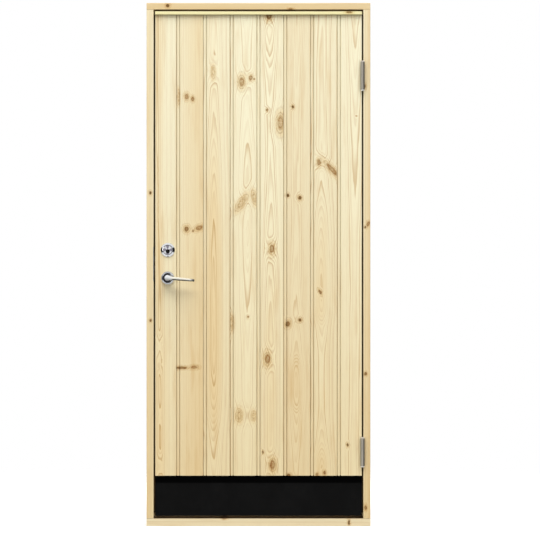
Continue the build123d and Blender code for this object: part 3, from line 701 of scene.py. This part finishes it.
def hinge_metal():
    finish, shader, place = start_finish("hinge_zinc")
    at = axes(place)
    lines = stretched_noise(place, (2.5, 2.5, 40), 43, detail=3.0)
    colour = lines.ease(0.3, 0.7).mix(paint(174, 168, 155), paint(188, 182, 168))
    # painted shade: the barrel darkens away from its painted highlight line
    painted_turn_shade = abs(at["X"] - PAINTED_HIGHLIGHT_LINE).ease(0.5, 8.5)
    colour = (painted_turn_shade * 0.9).mix(colour, paint(76, 72, 64))
    cap = painted_top_cap_shade = None
    for half in ("upper", "lower"):
        foot, top = hinge_span(half)
        reach = (top - foot) / 2
        rise = at["Z"] - (foot + top) / 2
        away = abs(rise)
        ends = away.ease(reach - CAP_HEIGHT, reach - CAP_HEIGHT + 0.6) * away.ease(reach + 2, reach + 1)
        upper_end = ends * rise.ease(-1, 1)
        cap = ends if cap is None else cap.most(ends)
        painted_top_cap_shade = upper_end if painted_top_cap_shade is None else painted_top_cap_shade.most(upper_end)
    colour = cap.mix(colour, paint(240, 238, 233))
    # painted shade: the upper cap is made darker than the lower one
    feed(shader, "Base Color", painted_top_cap_shade.mix(colour, paint(196, 188, 176)))
    feed(shader, "Metallic", 0.3 - cap * 0.3)
    feed(shader, "Roughness", 0.34 + lines * 0.1)
    raise_surface(shader, lines, 0.02, 0.3)
    return finish


hinge_zinc = hinge_metal()
for half in ("upper", "lower"):
    for side in ("frame", "leaf"):
        dress(f"{half}_hinge_{side}_half", hinge_zinc)
print("hinges finished; their pin is at", round(HINGE_PIN, 1))

# %% [markdown]
# ## Rose and lock cylinder
# Both are polished chrome turned on a lathe, so their finish is told by the distance from their middle.
# Past the dish the rose rolls outwards in a narrow rim: a bump whose height falls with the distance leans
# the mirror outwards there, and it catches light. Round the key the cylinder is sunk, and painted dark
# there as shade.

# %% Turned chrome
RIM_START, RIM_LEAN = 20.5, 0.8
# the radius round the key plug within which the chrome is painted dark as shade
KEY_SHADE_RADIUS = 7.5


def from_middle(place, piece):
    """Place on the door's face, measured from the middle of a round piece: right, up and straight."""
    at = axes(place)
    middle = [sum(ends) / 2 for ends in zip(*corners(piece))]
    side, rise = at["X"] - middle[0], at["Z"] - middle[2]
    return side, rise, (side * side + rise * rise) ** 0.5


def trim_chrome(name, rim=None, key_shade=None):
    """Chrome that leans outwards past the radius rim of the rose, or carries painted shade near the key.
    """
    finish, shader, place = start_finish(name)
    wipes = stretched_noise(place, WIPE_CELL, 45, detail=4.0, rough=0.6)
    colour = wipes.ease(0.35, 0.65).mix(*CHROME)
    height = wipes * 0.01
    # painted shade: the chrome turns dark near the key plug
    if key_shade:
        away = from_middle(place, "key_plug")[2]
        colour = away.ease(key_shade + 1.5, key_shade).mix(colour, paint(24, 24, 18))
    if rim:
        away = from_middle(place, "outside_rose")[2]
        height = height - (away - rim).most(0.0) * RIM_LEAN
    feed(shader, "Base Color", colour)
    feed(shader, "Roughness", wipes.ease(0.4, 0.75) * 0.07 + 0.06)
    raise_surface(shader, height, 1.0)
    shader.inputs["Metallic"].default_value = 1.0
    return finish


rose_chrome = trim_chrome("rose_chrome", rim=RIM_START)
dress("outside_rose", rose_chrome)
dress("inside_rose", rose_chrome)
dress("lock_cylinder", trim_chrome("cylinder_chrome", key_shade=KEY_SHADE_RADIUS))
print("turned trims finished; the rose's rim starts at", RIM_START)

# %% [markdown]
# ## Lever
# The lever is satin nickel, pale on top. A painted reflection in its colour makes it grey along the middle
# of the grip, nearly black along the foot of the grip and at its tip, dark in a ring round the hub and
# near white on the hub, which greys towards its foot. A mirror would lose that shape in a white surround,
# so the finish is half metallic and carries the painted reflection itself. The grip falls towards its tip,
# and the painted dark follows it down.

# %% Satin nickel
GRIP_FALL = 0.0875
GRIP_START = 10, 24
LEVER_TIP = corners("outside_lever")[1][0]


def lever_metal():
    finish, shader, place = start_finish("lever_nickel")
    side, rise, away = from_middle(place, "outside_rose")
    wipes = stretched_noise(place, WIPE_CELL, 44, detail=4.0, rough=0.6)
    rise = rise + side * GRIP_FALL
    grip = side.ease(*GRIP_START)
    # painted reflection: a grey band along the grip's middle and over the hub's lower part
    middle = (rise.ease(0.4, -2.4) * grip).most(rise.ease(4, -8) * (1 - grip))
    # painted reflection: near black along the grip's foot
    foot = rise.ease(-1.2, -3.6) * grip
    # painted reflection: a dark ring round the hub
    painted_hub_ring = away.ease(10.0, 11.6) * side.ease(9, 5)
    # painted shade: dark towards the lever's tip
    tip = axes(place)["X"].ease(LEVER_TIP - 20, LEVER_TIP - 4)
    colour = wipes.ease(0.35, 0.65).mix(paint(238, 234, 218), paint(248, 245, 232))
    # painted highlight: the hub near white
    colour = (1 - grip).mix(colour, paint(244, 246, 248))
    colour = (middle * 0.75).mix(colour, paint(126, 125, 120))
    colour = foot.mix(colour, paint(34, 30, 22))
    colour = painted_hub_ring.mix(colour, paint(88, 88, 94))
    colour = (tip * 0.85).mix(colour, paint(44, 40, 32))
    feed(shader, "Base Color", colour)
    feed(shader, "Roughness", away.ease(12.5, 10.5, 0.12, 0.22) + wipes * 0.06)
    raise_surface(shader, wipes, 0.01, 0.2)
    shader.inputs["Metallic"].default_value = 0.5
    return finish


lever_nickel = lever_metal()
dress("outside_lever", lever_nickel)
dress("inside_lever", lever_nickel)
print("pieces finished:", len(dressed), "left bare:", [name for name in nodes if name not in dressed])

# %% [markdown]
# ## Screws
# Hinges, strike, lock and the inner roses are held by countersunk screws with a six-lobe socket. One is
# modelled as by hand: a cylinder whose lower end is pulled in, whose top is inset and lifted a little, and
# whose socket is cut by a star made from a twelve-cornered circle. Copies then go to their places.

# %% Helpers for hand modelling
def only(piece):
    bpy.ops.object.select_all(action="DESELECT")
    piece.select_set(True)
    bpy.context.view_layer.objects.active = piece


def set_place():
    """Put the new object's place into its mesh."""
    bpy.ops.object.transform_apply(location=True, rotation=True, scale=True)


def pick(piece, kind, wanted):
    """Select in edit mode the faces or corners for which `wanted` is true."""
    bpy.ops.object.mode_set(mode="EDIT")
    bpy.ops.mesh.select_mode(type=kind)
    bpy.ops.mesh.select_all(action="DESELECT")
    bpy.ops.object.mode_set(mode="OBJECT")
    for part in piece.data.polygons if kind == "FACE" else piece.data.vertices:
        part.select = wanted(part)
    bpy.ops.object.mode_set(mode="EDIT")


print("modelling helpers ready")

# %% One screw head
HEAD_RADIUS, HEAD_DEPTH = 0.0040, 0.0022
NECK = 0.5
CROWN_INSET, CROWN_RISE = 0.0005, 0.00015
bpy.ops.object.select_all(action="DESELECT")
bpy.ops.mesh.primitive_cylinder_add(vertices=32, radius=HEAD_RADIUS, depth=HEAD_DEPTH,
                                    location=(0, 0, -HEAD_DEPTH / 2))
screw = bpy.context.object
set_place()
pick(screw, "FACE", lambda face: face.normal.z < -0.9)
bpy.ops.transform.resize(value=(NECK, NECK, 1))
pick(screw, "FACE", lambda face: face.normal.z > 0.9)
bpy.ops.mesh.inset(thickness=CROWN_INSET, depth=CROWN_RISE)
bpy.ops.object.mode_set(mode="OBJECT")
print("screw blank faces:", len(screw.data.polygons))

# %% Its six-lobe socket
LOBE_RADIUS, LOBE_WAIST = 0.0021, 0.68
SOCKET_TOP, SOCKET_CUT = 0.001, 0.0023
SMOOTH_BELOW = 35
bpy.ops.object.select_all(action="DESELECT")
bpy.ops.mesh.primitive_circle_add(vertices=12, radius=LOBE_RADIUS, fill_type="NGON",
                                  location=(0, 0, SOCKET_TOP))
star = bpy.context.object
set_place()
pick(star, "VERT", lambda corner: corner.index % 2 == 0)
bpy.ops.transform.resize(value=(LOBE_WAIST, LOBE_WAIST, 1))
bpy.ops.mesh.select_all(action="SELECT")
bpy.ops.mesh.extrude_region_move(TRANSFORM_OT_translate={"value": (0, 0, -SOCKET_CUT)})
bpy.ops.mesh.select_all(action="SELECT")
bpy.ops.mesh.normals_make_consistent(inside=False)
bpy.ops.object.mode_set(mode="OBJECT")
only(screw)
cut = screw.modifiers.new("socket", "BOOLEAN")
cut.operation = "DIFFERENCE"
cut.solver = "EXACT"
cut.object = star
bpy.ops.object.modifier_apply(modifier=cut.name)
bpy.data.objects.remove(star)
only(screw)
bpy.ops.object.shade_smooth_by_angle(angle=math.radians(SMOOTH_BELOW))
print("screw faces:", len(screw.data.polygons))

# %% Where the screws go
HINGE_SCREWS = ((-40, -26), (0, -38), (40, -26))
STRIKE_INSET, FOREND_INSET = 10.5, 12.5
ROSE_SCREW, ROSE_DISH = 17.3, 1.9
TURN_SCREW = 18
strike, case = corners("strike_plate"), corners("lock_case")
bolt_depth = (case[0][1] + case[1][1]) / 2
places = []
for half in ("upper", "lower"):
    middle = sum(hinge_span(half)) / 2
    for step, depth in HINGE_SCREWS:
        jamb_spot = (corners("hinge_jamb")[0][0], depth, middle + step)
        places.append((f"{half}_frame_screw", "frame", "-x", jamb_spot))
        places.append((f"{half}_leaf_screw", "leaf", "+x", (LEAF_RIGHT, depth, middle + step)))
for height in (strike[0][2] + STRIKE_INSET, strike[1][2] - STRIKE_INSET):
    places.append(("strike_screw", "frame", "+x", (strike[1][0], bolt_depth, height)))
for height in (case[0][2] + FOREND_INSET, case[1][2] - FOREND_INSET):
    places.append(("forend_screw", "leaf", "-x", (case[0][0], bolt_depth, height)))
for rose, aside, sunk in (("inside_rose", ROSE_SCREW, ROSE_DISH), ("turn_rose", TURN_SCREW, 0)):
    low, high = corners(rose)
    across, height = (low[0] + high[0]) / 2, (low[2] + high[2]) / 2
    for step in (-aside, aside):
        places.append((f"{rose}_screw", "leaf", "+y", (across + step, high[1] - sunk, height)))
print("screw places:", len(places))

# %% Copies in their places
FACING = {"-x": (0, -90, 0), "+x": (0, 90, 0), "+y": (-90, 0, 0)}
for number, (name, body, facing, spot) in enumerate(places):
    only(screw)
    bpy.ops.object.duplicate(linked=False)
    copy = bpy.context.object
    copy.name = f"{name}_{number + 1}"
    copy.rotation_euler = [math.radians(angle) for angle in FACING[facing]]
    copy.location = [value / MM for value in spot]
    set_place()
    copy.data.materials.clear()
    copy.data.materials.append(zinc)
    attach(copy, body)
bpy.data.objects.remove(screw)
print("screws placed:", len(places))

# %% [markdown]
# ## Floor
# The door stands on a pale floor that fades out before its edge, so that no horizon shows. The camera sees
# it nearly white, while the light that it throws back up is that of a mid grey, which keeps the wood from
# being lit from below. Polished metal looks straight through it, into the surround.

# %% Make the floor
FLOOR_RADIUS, FLOOR_DROP = 4.0, 0.0005
FADE_START, FADE_END = 1.6, 3.6
bpy.ops.object.select_all(action="DESELECT")
bpy.ops.mesh.primitive_circle_add(vertices=96, radius=FLOOR_RADIUS, fill_type="NGON",
                                  location=(0, 0, -FLOOR_DROP))
floor = bpy.context.object
floor.name = "studio_floor"
set_place()
floor_finish = bpy.data.materials.new("studio_floor")
floor_finish.use_nodes = True
floor_finish.node_tree.nodes.clear()
wire = Wire(floor_finish.node_tree)
spot = wire.node("ShaderNodeTexCoord", out="Object")
reach = wire.vector("LENGTH", {0: spot}, "Value")
path = wire.node("ShaderNodeLightPath", out="Is Camera Ray")
seen = path.most(path.out("Is Transmission Ray"))
shade = seen.mix(paint(155, 153, 150), paint(250, 250, 250))
matt = wire.node("ShaderNodeBsdfDiffuse", None, {"Color": shade})
clear = wire.node("ShaderNodeBsdfTransparent")
fade = reach.ease(FADE_START, FADE_END).most(path.out("Is Glossy Ray"))
shown = wire.node("ShaderNodeMixShader", None, {0: fade, 1: matt, 2: clear})
wire.node("ShaderNodeOutputMaterial", None, {"Surface": shown})
floor.data.materials.append(floor_finish)
print("floor radius:", FLOOR_RADIUS)

# %% [markdown]
# ## Lamps
# One very large lamp high in front gives the short soft shadows under the strip and over the kick plate.
# A smaller one behind lights the inner side when the door is seen from there, and a slim one at the left
# draws a line along polished edges. Metal does not mirror the large lamp, which would flood it with white.

# %% Hang the lamps
MIDDLE = (0, 0, cad_box[1][2] / 2)


def lamp(name, spot, wide, high, power):
    """A rectangular lamp at spot, turned to face the door's middle."""
    bpy.ops.object.light_add(type="AREA", location=spot)
    made = bpy.context.object
    made.name = name
    made.data.shape = "RECTANGLE"
    made.data.size = wide
    made.data.size_y = high
    made.data.energy = power
    offset = [end - start for start, end in zip(spot, MIDDLE)]
    flat = math.hypot(offset[0], offset[1])
    made.rotation_euler = (math.atan2(flat, -offset[2]), 0, math.atan2(-offset[0], offset[1]))
    return made


key_lamp = lamp("key_lamp", (0, -12.0, 21.4), wide=28.0, high=16.0, power=7600)
key_lamp.visible_glossy = False
lamp("inner_lamp", (1.5, 8.0, 6.0), wide=6.0, high=3.0, power=420)
lamp("edge_lamp", (-5.0, -8.0, 1.8), wide=0.8, high=3.0, power=35)

# %% [markdown]
# ## Surround
# The camera sees plain white behind the door, while the light that falls from there on the wood stays
# low, so the pine keeps its written colour. Chrome in an all-white room would look like white paint. So
# reflections see a pattern instead: white with dark wedges low at the sides, a grey bowl, and straight
# ahead a dark room with one bright spot in it, which together draw the round trims.

# %% Surround
WHITE, GLOW = (1, 1, 1, 1), 0.40
WEDGE_DARK, BOWL_GREY = (0.02, 0.02, 0.02, 1), (0.32, 0.29, 0.35, 1)
ROOM_DARK, SPOT_BRIGHT = (0.05, 0.05, 0.06, 1), (1.0, 0.99, 0.94, 1)
world = bpy.data.worlds.new("surround")
bpy.context.scene.world = world
world.use_nodes = True
world.node_tree.nodes.clear()
wire = Wire(world.node_tree)
toward = axes(wire.node("ShaderNodeTexCoord", out="Generated"))
path = wire.node("ShaderNodeLightPath", out="Is Camera Ray")
# facing is 1 straight ahead of the door and 0 beside it; level is 0 at the horizon and 1 overhead
facing, level = abs(toward["Y"]), abs(toward["Z"])
wedge = facing.ease(0.12, 0.3) * facing.ease(0.72, 0.62) * level.ease(0.45, 0.25)
window = (abs(toward["X"]) * level).ease(0.12, 0.18)
bowl = facing.ease(0.62, 0.70) * facing.ease(0.88, 0.82) * (1 - window)
room = facing.ease(0.82, 0.88)
bright = facing.ease(0.965, 0.985)
mirrored = wedge.mix(WHITE, WEDGE_DARK)
mirrored = bowl.mix(mirrored, BOWL_GREY)
mirrored = room.mix(mirrored, ROOM_DARK)
mirrored = bright.mix(mirrored, SPOT_BRIGHT)
mirror = path.out("Is Glossy Ray")
view = mirror.mix(WHITE, mirrored)
seen = path.most(mirror).most(path.out("Is Transmission Ray"))
shade = wire.node("ShaderNodeBackground", None, {"Color": view, "Strength": 1.0})
glow = wire.node("ShaderNodeBackground", None, {"Color": WHITE, "Strength": GLOW})
both = wire.node("ShaderNodeMixShader", None, {0: seen, 1: glow, 2: shade})
wire.node("ShaderNodeOutputWorld", None, {"Surface": both})
print("surround ready, with a glow of", GLOW)

# %% [markdown]
# ## Camera
# The door is seen square from the front, so far away that its edges stay parallel. A long lens at twelve
# metres gives that, and the camera sits a little to the right of the door's middle, as the picture does.

# %% Camera
CAMERA_SPOT = (0.0459, -11.9825, 1.018)
bpy.ops.object.camera_add(location=CAMERA_SPOT, rotation=(math.radians(90), 0, 0))
camera = bpy.context.object
camera.data.lens = 200
camera.data.sensor_width = 36
camera.data.clip_end = 100
bpy.context.scene.camera = camera
bpy.context.scene.view_settings.view_transform = "Standard"
print("camera at", [round(value, 3) for value in camera.location])
